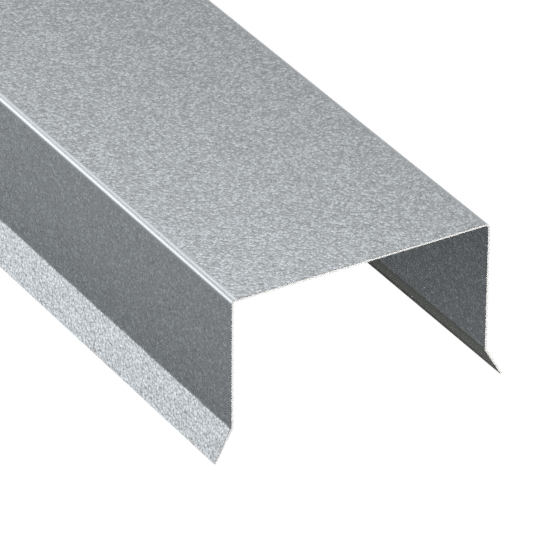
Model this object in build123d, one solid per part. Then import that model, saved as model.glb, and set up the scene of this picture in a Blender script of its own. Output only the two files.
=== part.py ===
from build123d import *
import os

# Metal coping: one strip of galvanised sheet, folded along its length to cap the top of a wall.
# X runs across the wall, Y along it and Z up. The strip stands on its two drip lips at Z = 0.

# Driving dimensions, in millimetres and degrees.
length = 3048.0  # one stock length, 10 feet
top_width = 101.6  # across the outside faces of the two legs, 4 inches
leg_height = 50.0  # top face down to the drip fold, on the outside
drip_length = 13.5  # drip fold to lip, on the outside
drip_angle = 30.0  # how far each drip kicks out from its leg
sheet_thickness = 0.7  # 24 gauge sheet
top_fold_radius = 1.1  # hollow side of the two top folds, under the top
drip_fold_radius = 2.0  # hollow side of the two drip folds, on the weather face


def weather_face_line():
    """The outside face of the sheet seen end on, from lip to lip, with the top at height 0."""
    corner = Vector(top_width / 2, 0)
    fold = corner - Vector(0, leg_height)
    lip = fold - Vector(0, drip_length).rotate(Axis.Z, drip_angle)
    right_side = [corner, fold, lip]
    left_side = [Vector(-point.X, point.Y) for point in reversed(right_side)]
    # The weather face goes into the hollow of the drip folds and round the outside of the top folds.
    left_radii = [drip_fold_radius, top_fold_radius + sheet_thickness]
    return FilletPolyline(*left_side, *right_side, radius=left_radii + left_radii[::-1])


def sheet_section():
    """The folded sheet's cross-section, one thickness everywhere, standing on its two lips."""
    outline = offset(weather_face_line(), sheet_thickness, side=Side.RIGHT)
    section = make_face(outline)
    return Pos(0, -section.bounding_box().min.Y) * section


coping = extrude(Plane.XZ * sheet_section(), length / 2, both=True)
coping.label = "coping"

os.makedirs("parts", exist_ok=True)
export_step(coping, "parts/coping.step")
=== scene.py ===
# %% [markdown]
# # A length of metal coping
# Coping is the cap on top of a wall. This one is a single strip of galvanised sheet steel, folded
# four times along its length: a flat top, two legs that reach down the sides of the wall, and two
# drips that kick out at the bottom, so that rain falls clear of the wall. The strip is long and
# plain, so its looks come from three things: crisp folds, the zinc's crystals, and the bright
# line of bare steel where the sheet was cut.
#
# The solid model is the fixed frame. Everything below is made around it, in metres, with +Z up.

# %% Load the frame
import math

import bpy
from mathutils import Matrix, Vector


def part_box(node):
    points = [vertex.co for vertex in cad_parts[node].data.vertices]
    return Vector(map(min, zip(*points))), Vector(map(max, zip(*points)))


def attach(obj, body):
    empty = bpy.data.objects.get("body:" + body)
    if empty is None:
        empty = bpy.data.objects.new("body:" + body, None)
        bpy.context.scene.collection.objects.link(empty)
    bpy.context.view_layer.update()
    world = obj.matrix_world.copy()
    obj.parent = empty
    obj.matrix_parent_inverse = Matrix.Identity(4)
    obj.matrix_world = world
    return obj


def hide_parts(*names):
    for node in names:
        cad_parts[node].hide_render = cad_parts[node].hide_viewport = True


MM = 0.001

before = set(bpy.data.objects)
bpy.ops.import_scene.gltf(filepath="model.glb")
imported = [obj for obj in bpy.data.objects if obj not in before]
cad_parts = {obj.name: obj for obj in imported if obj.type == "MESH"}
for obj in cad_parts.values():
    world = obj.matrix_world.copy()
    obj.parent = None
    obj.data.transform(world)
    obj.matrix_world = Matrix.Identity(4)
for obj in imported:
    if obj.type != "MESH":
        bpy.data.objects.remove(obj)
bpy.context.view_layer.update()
low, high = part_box("coping")
length = high.y - low.y
top_height = high.z
near_end = low.y

# %% [markdown]
# ## Helpers for node trees
# Both the shape and the finish are node trees. A tree is easier to read when each node takes one
# line, so these helpers add a node, set its options, and link or fill its inputs in one call.


# %% Node helpers
def put(tree, kind, inputs=None, **options):
    """Adds one node to a tree. Each input is a number to fill in, or a socket to link."""
    made = tree.nodes.new(kind)
    for name, value in options.items():
        setattr(made, name, value)
    for name, value in (inputs or {}).items():
        if isinstance(value, bpy.types.NodeSocket):
            tree.links.new(value, made.inputs[name])
        else:
            made.inputs[name].default_value = value
    return made


def calc(tree, operation, *values):
    """One Math node. Returns its result."""
    return put(tree, "ShaderNodeMath", dict(enumerate(values)), operation=operation).outputs[0]


# %% [markdown]
# ## The folded sheet
# On the real thing a flat blank goes into a folding machine and comes out with four bends. The
# shape could be modelled by hand with loops and bevels, but it follows one rule, so Geometry
# Nodes make it: a line goes along the weather face from lip to lip, its corners are rounded by
# Fillet Curve, and a thin rectangle, as long as the strip and as thick as the sheet, is swept
# along it. Every size is a named input, so another coping is the same tree with other numbers.

# %% Sizes of the fold
fold_sizes = {
    "Length": length,
    "Top Height": top_height,
    "Top Width": 101.6 * MM,
    "Leg Height": 50.0 * MM,
    "Drip Length": 13.5 * MM,
    "Drip Angle": math.radians(30),
    "Sheet Thickness": 0.7 * MM,
    "Top Fold Radius": 1.1 * MM,
    "Drip Fold Radius": 2.0 * MM,
    "Shear Rounding": 0.08 * MM,
}
fold_height = top_height - fold_sizes["Leg Height"]
print("drip folds", round(fold_height / MM, 2), "mm above the floor")

# %% [markdown]
# The weather line has six points. They could be typed in, but then they wouldn't follow the
# sizes. Counted outwards from the middle they are a corner, a fold and a lip on each side, so one
# number, 0, 1 or 2, says which of the three a point is, and Index Switch picks its place and its
# radius. The sheet lies inside this line, so the line goes round the outside of the top folds, a
# sheet's thickness further out, and into the hollow of the drip folds.


# %% The weather line
def pick(tree, index, *values):
    """One Index Switch over numbers. Returns its result."""
    made = put(tree, "GeometryNodeIndexSwitch", data_type="FLOAT")
    while len(made.index_switch_items) < len(values):
        made.index_switch_items.new()
    for socket, value in zip(made.inputs, (index, *values)):
        tree.links.new(value, socket)
    return made.outputs[0]


def weather_line(tree, size):
    """The outside face of the sheet seen end on, as a curve with rounded corners."""
    half_width = calc(tree, "DIVIDE", size["Top Width"], 2)
    fold_level = calc(tree, "SUBTRACT", size["Top Height"], size["Leg Height"])
    drip, angle = size["Drip Length"], size["Drip Angle"]
    kick_out = calc(tree, "MULTIPLY", drip, calc(tree, "SINE", angle))
    kick_down = calc(tree, "MULTIPLY", drip, calc(tree, "COSINE", angle))
    lip_reach = calc(tree, "ADD", half_width, kick_out)
    lip_level = calc(tree, "SUBTRACT", fold_level, kick_down)
    corner_radius = calc(tree, "ADD", size["Top Fold Radius"], size["Sheet Thickness"])

    point_count, bend_steps = 6, 16
    index = put(tree, "GeometryNodeInputIndex").outputs[0]
    from_middle = calc(tree, "SUBTRACT", index, (point_count - 1) / 2)
    side = calc(tree, "SIGN", from_middle)
    which = calc(tree, "SUBTRACT", calc(tree, "ABSOLUTE", from_middle), 0.5)
    reach = calc(tree, "MULTIPLY", side, pick(tree, which, half_width, half_width, lip_reach))
    level = pick(tree, which, size["Top Height"], fold_level, lip_level)
    place = put(tree, "ShaderNodeCombineXYZ", {"X": reach, "Z": level}).outputs[0]
    radius = pick(tree, which, corner_radius, size["Drip Fold Radius"], size["Drip Fold Radius"])

    line = put(tree, "GeometryNodeCurvePrimitiveLine").outputs[0]
    points = {"Curve": line, "Count": point_count}
    line = put(tree, "GeometryNodeResampleCurve", points).outputs[0]
    line = put(tree, "GeometryNodeSetPosition", {"Geometry": line, "Position": place}).outputs[0]
    rounded = {"Curve": line, "Count": bend_steps, "Radius": radius}
    return put(tree, "GeometryNodeFilletCurve", rounded, mode="POLY").outputs[0]


# %% [markdown]
# The blank is cut from a coil by a shear, which leaves its edges nearly sharp. A hair of rounding
# on the rectangle's corners catches the light as those edges do. A Bevel modifier could round
# them afterwards, but it would have to find them first. Here the corners are known before the
# sweep.


# %% The blank
def cut_blank(tree, size):
    """The long thin rectangle of the sheet, just under the line, with soft corners."""
    sides = {"Width": size["Length"], "Height": size["Sheet Thickness"]}
    blank = put(tree, "GeometryNodeCurvePrimitiveQuadrilateral", sides, mode="RECTANGLE").outputs[0]
    corner_steps = 3
    rounded = {"Curve": blank, "Count": corner_steps, "Radius": size["Shear Rounding"]}
    blank = put(tree, "GeometryNodeFilletCurve", rounded, mode="POLY").outputs[0]
    half_thickness = calc(tree, "DIVIDE", size["Sheet Thickness"], 2)
    inwards = put(tree, "ShaderNodeCombineXYZ", {"Y": half_thickness}).outputs[0]
    moved = {"Geometry": blank, "Translation": inwards}
    return put(tree, "GeometryNodeTransform", moved).outputs[0]


# %% [markdown]
# The cut faces show bare steel and all others zinc. They could be picked by number, but the
# numbers change with the sizes. A face's normal tells them apart at any size: the sheared ends
# face along the strip, and the lips face down and outwards. The tree gives each its finish.


# %% The folding tree
def cut_faces(tree):
    """True on the sheared ends and on the lips."""
    normal = put(tree, "GeometryNodeInputNormal").outputs["True Normal"]
    facing = put(tree, "ShaderNodeSeparateXYZ", {0: normal}).outputs
    spot = put(tree, "GeometryNodeInputPosition").outputs[0]
    side = calc(tree, "SIGN", put(tree, "ShaderNodeSeparateXYZ", {0: spot}).outputs["X"])
    along_strip, downwards, sideways = 0.5, -0.7, 0.3
    end = calc(tree, "GREATER_THAN", calc(tree, "ABSOLUTE", facing["Y"]), along_strip)
    down = calc(tree, "LESS_THAN", facing["Z"], downwards)
    outwards = calc(tree, "GREATER_THAN", calc(tree, "MULTIPLY", facing["X"], side), sideways)
    lip = calc(tree, "MULTIPLY", down, outwards)
    return calc(tree, "MAXIMUM", end, lip)


def folding_tree():
    """Geometry nodes that fold the coping from its sizes, with finishes for sheet and cut edge."""
    tree = bpy.data.node_groups.new("folded_coping", "GeometryNodeTree")
    for name in fold_sizes:
        tree.interface.new_socket(name, in_out="INPUT", socket_type="NodeSocketFloat")
    for name in ("Sheet Finish", "Edge Finish"):
        tree.interface.new_socket(name, in_out="INPUT", socket_type="NodeSocketMaterial")
    tree.interface.new_socket("Coping", in_out="OUTPUT", socket_type="NodeSocketGeometry")

    size = put(tree, "NodeGroupInput").outputs
    line, blank = weather_line(tree, size), cut_blank(tree, size)
    swept = {"Curve": line, "Profile Curve": blank, "Fill Caps": True}
    sheet = put(tree, "GeometryNodeCurveToMesh", swept).outputs[0]

    angle = put(tree, "GeometryNodeInputMeshEdgeAngle").outputs["Unsigned Angle"]
    crisp_from = math.radians(40)
    crisp = calc(tree, "GREATER_THAN", angle, crisp_from)
    smooth = {"Geometry": sheet, "Selection": crisp, "Shade Smooth": False}
    sheet = put(tree, "GeometryNodeSetShadeSmooth", smooth, domain="EDGE").outputs[0]
    sheet = put(tree, "GeometryNodeRealizeInstances", {"Geometry": sheet}).outputs[0]

    everywhere = {"Geometry": sheet, "Material": size["Sheet Finish"]}
    sheet = put(tree, "GeometryNodeSetMaterial", everywhere).outputs[0]
    on_cuts = {"Geometry": sheet, "Selection": cut_faces(tree), "Material": size["Edge Finish"]}
    sheet = put(tree, "GeometryNodeSetMaterial", on_cuts).outputs[0]
    put(tree, "NodeGroupOutput", {"Coping": sheet})
    return tree


fold_nodes = folding_tree()
print("tree", fold_nodes.name, "with", len(fold_nodes.nodes), "nodes")


# %% [markdown]
# ## The zinc's crystals
# Hot-dip galvanising leaves a skin of zinc crystals, the spangle. On this sheet they are about a
# millimetre across, and each one is a fleck that throws back the light a little differently. A
# painted picture would stretch along three metres of strip. Voronoi cells are crystals seen in
# section, so they give the flecks: each has a tone of its own, and is brighter at its heart than
# at its rim. Each is a low dome too, so its surface leans away from its heart. A Bump node could
# lean it, but such small domes would blur from far off. The Voronoi node knows where each heart
# is, so the lean is worked out from that. The pattern reads Object coordinates, so it runs round
# the folds. The cut edges show a finer grain of the same kind, so the pattern is a group with its
# size as an input.


# %% Spangle group
def spangle_group():
    """Shader group: crystals of one size. Puts out their tone, 0 to 1, and the domes' normal."""
    tree = bpy.data.node_groups.new("zinc_spangle", "ShaderNodeTree")
    tree.interface.new_socket("Crystal Size", in_out="INPUT", socket_type="NodeSocketFloat")
    tree.interface.new_socket("Dome", in_out="INPUT", socket_type="NodeSocketFloat")
    tree.interface.new_socket("Tone", in_out="OUTPUT", socket_type="NodeSocketFloat")
    tree.interface.new_socket("Normal", in_out="OUTPUT", socket_type="NodeSocketVector")

    rim_distance, heart_share, own_share = 0.9, 0.6, 0.45
    clouds_per_crystal, cloud_share = 0.3, 0.1
    size = put(tree, "NodeGroupInput").outputs
    place = put(tree, "ShaderNodeTexCoord").outputs["Object"]
    per_metre = calc(tree, "DIVIDE", 1, size["Crystal Size"])
    crystal = put(tree, "ShaderNodeTexVoronoi", {"Vector": place, "Scale": per_metre}).outputs
    own_tone = put(tree, "ShaderNodeSeparateColor", {"Color": crystal["Color"]}).outputs[0]
    to_rim = {"Value": crystal["Distance"], "From Max": rim_distance}
    to_rim |= {"To Min": heart_share, "To Max": 0.0}
    heart = put(tree, "ShaderNodeMapRange", to_rim).outputs[0]
    cloud_scale = calc(tree, "MULTIPLY", per_metre, clouds_per_crystal)
    cloudy = {"Vector": place, "Scale": cloud_scale, "Detail": 2}
    cloud = put(tree, "ShaderNodeTexNoise", cloudy).outputs[0]
    tone = calc(tree, "MULTIPLY_ADD", own_tone, own_share, heart)
    tone = calc(tree, "MULTIPLY_ADD", cloud, cloud_share, tone)

    apart = {0: place, 1: crystal["Position"]}
    from_heart = put(tree, "ShaderNodeVectorMath", apart, operation="SUBTRACT").outputs[0]
    leaning = {0: from_heart, "Scale": calc(tree, "MULTIPLY", per_metre, size["Dome"])}
    lean = put(tree, "ShaderNodeVectorMath", leaning, operation="SCALE").outputs[0]
    upright = put(tree, "ShaderNodeNewGeometry").outputs["Normal"]
    normal = put(tree, "ShaderNodeVectorMath", {0: upright, 1: lean}, operation="ADD").outputs[0]
    normal = put(tree, "ShaderNodeVectorMath", {0: normal}, operation="NORMALIZE").outputs[0]
    put(tree, "NodeGroupOutput", {"Tone": tone, "Normal": normal})
    return tree


spangle = spangle_group()
print("group", spangle.name, "with", len(spangle.nodes), "nodes")

# %% [markdown]
# ## Where the zinc differs
# The machine leaves its marks. The folding bar rubs the crystals smooth round the top folds and
# polishes their crests, which are made brighter still as a painted highlight. A painted highlight
# line lies beside the left fold. The zinc is darker within a sheet's thickness of the ends. The
# hollow under each drip holds painted shade, darkest at the fold, with a warm painted reflection.
# Each is a mask from 0 to 1, worked out from the place on the strip, so no picture has to be
# painted.


# %% Masks at the folds
def object_place(tree):
    """Where a point is on the coping, as X, Y and Z."""
    place = put(tree, "ShaderNodeTexCoord").outputs["Object"]
    return put(tree, "ShaderNodeSeparateXYZ", {0: place}).outputs


def fade(tree, value, start, end):
    """A soft step from 0 at the start to 1 at the end."""
    span = {"Value": value, "From Min": start, "From Max": end}
    return put(tree, "ShaderNodeMapRange", span, interpolation_type="SMOOTHSTEP").outputs[0]


def fold_masks(tree):
    """At the folds: the rubbed zone, the polished crests' painted highlight, and a painted
    highlight line by the left.
    """
    place = object_place(tree)
    radius = fold_sizes["Top Fold Radius"] + fold_sizes["Sheet Thickness"]
    flat_end = fold_sizes["Top Width"] / 2 - radius
    past_top = calc(tree, "SUBTRACT", calc(tree, "ABSOLUTE", place["X"]), flat_end)
    past_leg = calc(tree, "SUBTRACT", place["Z"], top_height - radius)
    round_fold = calc(tree, "MINIMUM", past_top, past_leg)
    rubbed = fade(tree, round_fold, -1.2 * MM, 0.2 * MM)
    # The crests: polished, and brightened further below as a painted highlight.
    crest_polish_and_highlight = fade(tree, round_fold, 0.5 * MM, 1.1 * MM)
    # A painted highlight line beside the left fold only.
    past_left = calc(tree, "SUBTRACT", calc(tree, "MULTIPLY", place["X"], -1), flat_end)
    line_start = fade(tree, past_left, -0.6 * MM, 0)
    line_end = fade(tree, past_left, 0.95 * MM, 0.4 * MM)
    return rubbed, crest_polish_and_highlight, calc(tree, "MULTIPLY", line_start, line_end)


# %% [markdown]
# The ends and the drips need only a distance and a direction. A point near an end is known by its
# distance along the strip, and one in a hollow by facing inwards below the fold. Faces could be
# picked by hand instead, but they would have to be picked again for each new length.


# %% Masks at the ends and the drips
def shear_mask(tree):
    """1 at the sheared ends, fading out within a sheet's thickness."""
    from_middle = calc(tree, "ABSOLUTE", object_place(tree)["Y"])
    return fade(tree, from_middle, length / 2 - 0.7 * MM, length / 2 - 0.2 * MM)


def hollow_masks(tree):
    """The underside of the drips, and the way down it, from 0 at the fold to 1 at the lip."""
    place = object_place(tree)
    normal = put(tree, "ShaderNodeNewGeometry").outputs["Normal"]
    facing = put(tree, "ShaderNodeSeparateXYZ", {0: normal}).outputs["X"]
    outwards = calc(tree, "MULTIPLY", facing, calc(tree, "SIGN", place["X"]))
    under = calc(tree, "LESS_THAN", outwards, -0.5)
    below_fold = fade(tree, place["Z"], fold_height + 0.8 * MM, fold_height + 0.1 * MM)
    return calc(tree, "MULTIPLY", under, below_fold), fade(tree, place["Z"], fold_height, low.z)


# %% [markdown]
# ## Helpers for finishes
# A finish is a stack of colours, each laid over the one below through a mask. It could be drawn
# as layers in a picture, but a picture has only so many dots. As nodes the layers stay sharp from
# close by, so these helpers make an empty material, a ramp of colours, a mix of two, and one flat
# colour.


# %% Colour helpers
def new_material(name):
    """An empty node material. Returns the material and its tree."""
    material = bpy.data.materials.new(name)
    material.use_nodes = True
    material.node_tree.nodes.clear()
    return material, material.node_tree


def ramp(tree, value, stops):
    """A colour ramp through (position, colour) stops."""
    made = put(tree, "ShaderNodeValToRGB", {"Fac": value})
    elements = made.color_ramp.elements
    while len(elements) < len(stops):
        elements.new(0.5)
    for element, (position, colour) in zip(elements, stops):
        element.position = position
        element.color = (*colour, 1)
    return made.outputs["Color"]


def mix(tree, share, colour, other):
    """Mixes a share of another colour into a colour. All three are sockets."""
    made = put(tree, "ShaderNodeMix", data_type="RGBA")
    share_in, colour_in, other_in = made.inputs[0], made.inputs[6], made.inputs[7]
    for value, socket in ((share, share_in), (colour, colour_in), (other, other_in)):
        tree.links.new(value, socket)
    return made.outputs[2]


def flat(tree, colour):
    """One RGB node. Returns its colour."""
    made = put(tree, "ShaderNodeRGB")
    made.outputs[0].default_value = (*colour, 1)
    return made.outputs[0]


# %% [markdown]
# ## The sheet's finish
# Zinc is a metal, so Metallic is 1 and its grey is the colour of its reflections. One flat grey
# with a bump would look like painted plastic, because on the real sheet each crystal has a grey
# of its own. So the crystals vary that grey, and a little the gloss and the lean of the surface,
# but not where the folds are rubbed smooth. The masks then mix in the polished crests with their
# painted highlight, the painted highlight line by the left fold, the darker ends, and the painted
# shade and warm painted reflection in the hollows.


# %% Zinc finish
def zinc_grey(brightness):
    """The grey of zinc, a little blue, at one brightness."""
    return tuple(brightness * part for part in (0.945, 1.0, 1.04))


def zinc_finish():
    """Galvanised sheet: metal with a fine spangle in its tone, its gloss and its lean."""
    material, tree = new_material("zinc_sheet")
    crystal_size, crystal_dome, smooth_tone = 1.0 * MM, 0.2, 0.6
    rubbed, crest_polish_and_highlight, left_fold_highlight = fold_masks(tree)
    crystals = put(tree, "ShaderNodeGroup", node_tree=spangle)
    crystals.inputs["Crystal Size"].default_value = crystal_size
    dome = calc(tree, "MULTIPLY_ADD", rubbed, -crystal_dome, crystal_dome)
    tree.links.new(dome, crystals.inputs["Dome"])

    tone = crystals.outputs["Tone"]
    to_smooth = calc(tree, "SUBTRACT", smooth_tone, tone)
    tone = calc(tree, "MULTIPLY_ADD", to_smooth, rubbed, tone)
    greys = [(0.1, zinc_grey(0.44)), (0.55, zinc_grey(0.605)), (0.95, zinc_grey(0.89))]
    colour = ramp(tree, tone, greys)
    hollow, to_lip = hollow_masks(tree)
    # Painted shade under each drip, darkest at the fold and lighter towards the lip. Its warm tint
    # is a painted reflection.
    hollow_shade_and_reflection = ramp(tree, to_lip, [(0, (0.275, 0.28, 0.245)), (1, (0.47, 0.475, 0.42))])
    for mask, strength, other in (
        # Polished crests, brightened as a painted highlight.
        (crest_polish_and_highlight, 0.9, flat(tree, zinc_grey(0.92))),
        # The painted highlight line beside the left fold.
        (left_fold_highlight, 0.8, flat(tree, zinc_grey(0.9))),
        # Darker zinc within a sheet's thickness of the ends.
        (shear_mask(tree), 0.6, flat(tree, zinc_grey(0.4))),
        # Painted shade and a warm painted reflection in the hollows under the drips.
        (hollow, 0.85, hollow_shade_and_reflection),
    ):
        colour = mix(tree, calc(tree, "MULTIPLY", mask, strength), colour, other)

    gloss = {"Value": tone, "To Min": 0.36, "To Max": 0.44}
    rough = put(tree, "ShaderNodeMapRange", gloss).outputs[0]
    normal = crystals.outputs["Normal"]
    surface = {"Base Color": colour, "Metallic": 1.0, "Roughness": rough, "Normal": normal}
    shader = put(tree, "ShaderNodeBsdfPrincipled", surface)
    put(tree, "ShaderNodeOutputMaterial", {"Surface": shader.outputs[0]})
    return material


zinc = zinc_finish()
print("material", zinc.name, "with", len(zinc.node_tree.nodes), "nodes")

# %% [markdown]
# ## The cut edges
# Where the sheet was sheared, the steel under the zinc shows as a pale matt line. It is what
# draws the shape of the open end. A metal finish would mirror the grey floor there. The torn
# steel is too rough for that, so this finish has no Metallic: it is pale and scatters the light,
# with a fine grain.


# %% Cut edge finish
def cut_finish():
    """Bare sheared steel: pale, matt and a little warm."""
    material, tree = new_material("sheared_edge")
    grain_size, grain_dome = 0.3 * MM, 0.1
    crystals = put(tree, "ShaderNodeGroup", node_tree=spangle)
    crystals.inputs["Crystal Size"].default_value = grain_size
    crystals.inputs["Dome"].default_value = grain_dome
    pales = [(0.2, (0.6, 0.595, 0.575)), (0.8, (0.68, 0.675, 0.655))]
    colour = ramp(tree, crystals.outputs["Tone"], pales)
    surface = {"Base Color": colour, "Roughness": 0.5, "Normal": crystals.outputs["Normal"]}
    shader = put(tree, "ShaderNodeBsdfPrincipled", surface)
    put(tree, "ShaderNodeOutputMaterial", {"Surface": shader.outputs[0]})
    return material


bare_steel = cut_finish()
print("material", bare_steel.name, "with", len(bare_steel.node_tree.nodes), "nodes")

# %% [markdown]
# ## Folding it
# The tree runs as a modifier on an empty mesh. Its inputs are set by each socket's identifier.
# Weighted Normal then lets the broad flats decide the shading beside a fold, so that they stay
# flat to the eye. The evaluated result becomes a plain mesh, and the modifiers are gone before
# the piece takes the place of the solid in the frame.


# %% Make the coping
def folded_mesh(name):
    """Runs the folding tree with the sizes above. Returns a plain mesh."""
    source = bpy.data.objects.new(name, bpy.data.meshes.new(name))
    bpy.context.scene.collection.objects.link(source)
    fold = source.modifiers.new("Fold", "NODES")
    fold.node_group = fold_nodes
    finishes = {"Sheet Finish": zinc, "Edge Finish": bare_steel}
    for socket in fold_nodes.interface.items_tree:
        if socket.in_out == "INPUT":
            fold[socket.identifier] = (fold_sizes | finishes)[socket.name]
    flats = source.modifiers.new("Flats", "WEIGHTED_NORMAL")
    flats.keep_sharp = True
    flats.weight = 100
    evaluated = source.evaluated_get(bpy.context.evaluated_depsgraph_get())
    mesh = bpy.data.meshes.new_from_object(evaluated)
    bpy.data.objects.remove(source)
    return mesh


coping = bpy.data.objects.new("coping_sheet", folded_mesh("coping_sheet"))
bpy.context.scene.collection.objects.link(coping)
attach(coping, "root")
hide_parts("coping")
print("faces", len(coping.data.polygons), "finishes", [m.name for m in coping.data.materials])

# %% [markdown]
# ## Floor
# The coping stands on its two lips on a plain white floor, which the camera sees as an even
# white. A floor as white as that would fill the legs with its reflection and flatten the folds.
# So the metal sees it as a floor in soft light: grey close by, where the coping takes light from
# it, and pale farther off. The legs mirror the grey part, and the drips the pale one.


# %% Floor
def plain_floor(side=300.0):
    """A large square floor just under the lips."""
    mesh = bpy.data.meshes.new("floor")
    half, lip_gap = side / 2, 0.05 * MM
    corners = [(-half, -half, 0), (half, -half, 0), (half, half, 0), (-half, half, 0)]
    mesh.from_pydata(corners, [], [(0, 1, 2, 3)])
    floor = bpy.data.objects.new("floor", mesh)
    floor.location.z = low.z - lip_gap
    bpy.context.scene.collection.objects.link(floor)
    material, tree = new_material("floor_white")
    seen = put(tree, "ShaderNodeLightPath").outputs["Is Camera Ray"]
    place = object_place(tree)
    past_side = calc(tree, "SUBTRACT", calc(tree, "ABSOLUTE", place["X"]), high.x)
    past_end = calc(tree, "SUBTRACT", calc(tree, "ABSOLUTE", place["Y"]), high.y)
    grey_until, pale_from = 0.05, 0.45
    farther_off = fade(tree, calc(tree, "MAXIMUM", past_side, past_end), grey_until, pale_from)
    near_grey, far_pale = flat(tree, (0.565, 0.575, 0.57)), flat(tree, (0.83, 0.84, 0.84))
    tone = mix(tree, farther_off, near_grey, far_pale)
    lit = put(tree, "ShaderNodeBsdfDiffuse", {"Color": tone}).outputs[0]
    white = put(tree, "ShaderNodeEmission", {"Color": (1, 1, 1, 1), "Strength": 1.0}).outputs[0]
    mixed = put(tree, "ShaderNodeMixShader", {0: seen, 1: lit, 2: white}).outputs[0]
    put(tree, "ShaderNodeOutputMaterial", {"Surface": mixed})
    mesh.materials.append(material)
    return floor


print("floor at", round(plain_floor().location.z / MM, 2), "mm")

# %% [markdown]
# ## Light
# Zinc mirrors the room, so its greys are the greys of whatever stands round it. Small bright
# lamps would burn white patches into it from some sides. Wide, dim panels along the strip, as a
# photographer sets them up, keep its greys from every side. The air adds an even glow, and looks
# white to the camera.


# %% Air
def studio_air(strength):
    """The world: white to the camera, and a dim even light to everything else."""
    world = bpy.data.worlds.new("studio")
    bpy.context.scene.world = world
    world.use_nodes = True
    tree = world.node_tree
    tree.nodes.clear()
    seen = put(tree, "ShaderNodeLightPath").outputs["Is Camera Ray"]
    pure = (1, 1, 1, 1)
    dim = put(tree, "ShaderNodeBackground", {"Color": pure, "Strength": strength}).outputs[0]
    white = put(tree, "ShaderNodeBackground", {"Color": pure, "Strength": 1.0}).outputs[0]
    mixed = put(tree, "ShaderNodeMixShader", {0: seen, 1: dim, 2: white}).outputs[0]
    put(tree, "ShaderNodeOutputWorld", {"Surface": mixed})


studio_air(strength=0.32)
print("air", bpy.context.scene.world.name)

# %% [markdown]
# A panel is easiest to think of by how bright it looks, but an area light is set in watts, so a
# bigger one would need another number to look the same. The helper works the watts out from the
# size. The long panels stand round the strip as hours stand round a clock, so one angle says
# where each is: 0 is on its right, 90 straight above it and 180 on its left.


# %% Light helpers
def add_light(data, matrix):
    """Puts a light into the scene, unseen by the camera."""
    light = bpy.data.objects.new(data.name, data)
    light.matrix_world = matrix
    light.visible_camera = False
    bpy.context.scene.collection.objects.link(light)


def facing(place, target):
    """A matrix that stands at a place and looks at a target, as lights and cameras look."""
    turn = (Vector(target) - Vector(place)).to_track_quat("-Z", "Y").to_matrix().to_4x4()
    return Matrix.Translation(place) @ turn


def alongside(angle, distance, start, end):
    """A matrix beside the coping, turned to it, half way between a start and an end along it."""
    turn = math.radians(angle)
    away = Vector((math.cos(turn), 0, math.sin(turn)))
    along = Vector((0, 1, 0))
    axes = Matrix((along.cross(away), along, away)).transposed().to_4x4()
    return Matrix.Translation(away * distance + Vector((0, (start + end) / 2, top_height))) @ axes


def panel(name, width, height, brightness, matrix):
    """A flat area light. Its power follows from its size, so that the brightness is what shows."""
    data = bpy.data.lights.new(name, "AREA")
    data.shape = "RECTANGLE"
    data.size, data.size_y = width, height
    data.energy = math.pi * width * height * brightness
    add_light(data, matrix)


def long_panel(name, angle, distance, width, start, end, brightness):
    """A panel parallel to the coping, from a start to an end along it."""
    panel(name, width, end - start, brightness, alongside(angle, distance, start, end))


def spotlight(name, angle, power, matrix):
    """A round lamp with a soft edge to its beam."""
    data = bpy.data.lights.new(name, "SPOT")
    data.energy = power
    data.spot_size, data.spot_blend = math.radians(angle), 0.5
    data.shadow_soft_size = 0.008
    add_light(data, matrix)


# %% [markdown]
# Each light has one job. The two panels on the left light the drip and draw the bright line of
# the fold. The two over the top shade it from left to right, and from the near end to the far
# one. The broad ones in front and on the right are what the top mirrors when it is seen from
# behind. A dim one lies on the floor of the channel, where the insides mirror it. Only the cut
# edges need a real lamp. It stands low in front of the channel, between the lines of the legs and
# below the line of the top, so it can't reach an outside face and burn a white patch into it.

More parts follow.
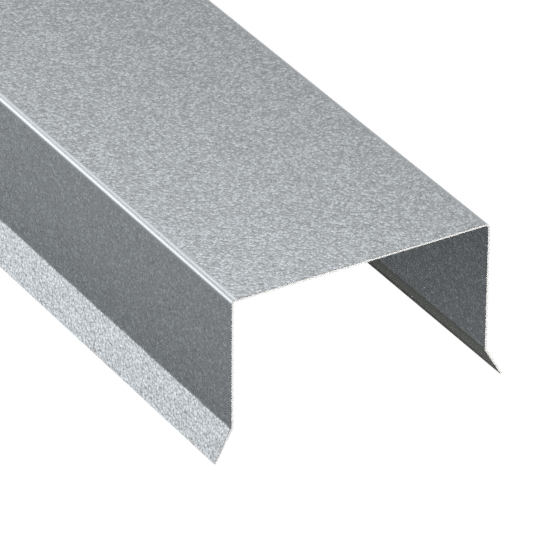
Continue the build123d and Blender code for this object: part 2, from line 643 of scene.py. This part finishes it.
# %% Lights
past_far_end = high.y + 0.4
floor_gap = 2 * MM
long_panel(
    "low_left_panel", angle=165, distance=0.8, width=0.43,
    start=near_end + 0.3, end=past_far_end, brightness=1.32,
)
long_panel(
    "left_panel", angle=135, distance=0.8, width=0.43,
    start=near_end + 0.8, end=past_far_end, brightness=0.9,
)
long_panel(
    "top_panel", angle=82, distance=0.4, width=0.33,
    start=near_end + 0.3, end=past_far_end, brightness=0.71,
)
long_panel(
    "near_panel", angle=75, distance=0.4, width=0.21,
    start=near_end + 0.1, end=near_end + 0.3, brightness=2.4,
)
long_panel(
    "channel_panel", angle=270, distance=top_height - floor_gap, width=0.11,
    start=near_end, end=near_end + 0.35, brightness=0.08,
)
from_front = facing((-0.3, near_end - 1.7, 0.9), (-0.3, near_end, 0.9))
panel("front_panel", width=3.0, height=1.7, brightness=0.5, matrix=from_front)
from_right = facing((2.0, near_end + 0.6, 0.8), (0, near_end + 0.6, 0.8))
panel("right_panel", width=6.0, height=1.0, brightness=0.6, matrix=from_right)
half_way_up = top_height / 2
into_channel = facing((-0.03, near_end - 0.5, half_way_up), (0.01, near_end, half_way_up))
spotlight("end_spot", angle=20, power=8.0, matrix=into_channel)

# %% [markdown]
# ## Camera
# The camera looks down on the near end from the left with a long lens, so that the edges hardly
# draw together. A camera can be turned by hand until the picture fits. Here it is placed from the
# point it looks at, on the top face by the near end, so that each angle is a number of its own.

# %% Camera
aim = Vector((-29.5 * MM, near_end + 11.0 * MM, top_height))
azimuth, elevation, roll = math.radians(-31.07), math.radians(30.72), math.radians(0.39)
distance = 1.881
back = Vector(
    (
        math.sin(azimuth) * math.cos(elevation),
        -math.cos(azimuth) * math.cos(elevation),
        math.sin(elevation),
    )
)
camera_data = bpy.data.cameras.new("camera")
camera_data.lens = 375.8
camera = bpy.data.objects.new("camera", camera_data)
bpy.context.scene.collection.objects.link(camera)
turn = (-back).to_track_quat("-Z", "Y").to_matrix().to_4x4() @ Matrix.Rotation(roll, 4, "Z")
camera.matrix_world = Matrix.Translation(aim + back * distance) @ turn
bpy.context.scene.camera = camera
bpy.context.scene.view_settings.view_transform = "Standard"
bpy.context.scene.cycles.use_denoising = False
camera_place = [round(part, 3) for part in camera.matrix_world.translation]
print("camera at", camera_place, "m, lens", camera_data.lens, "mm")
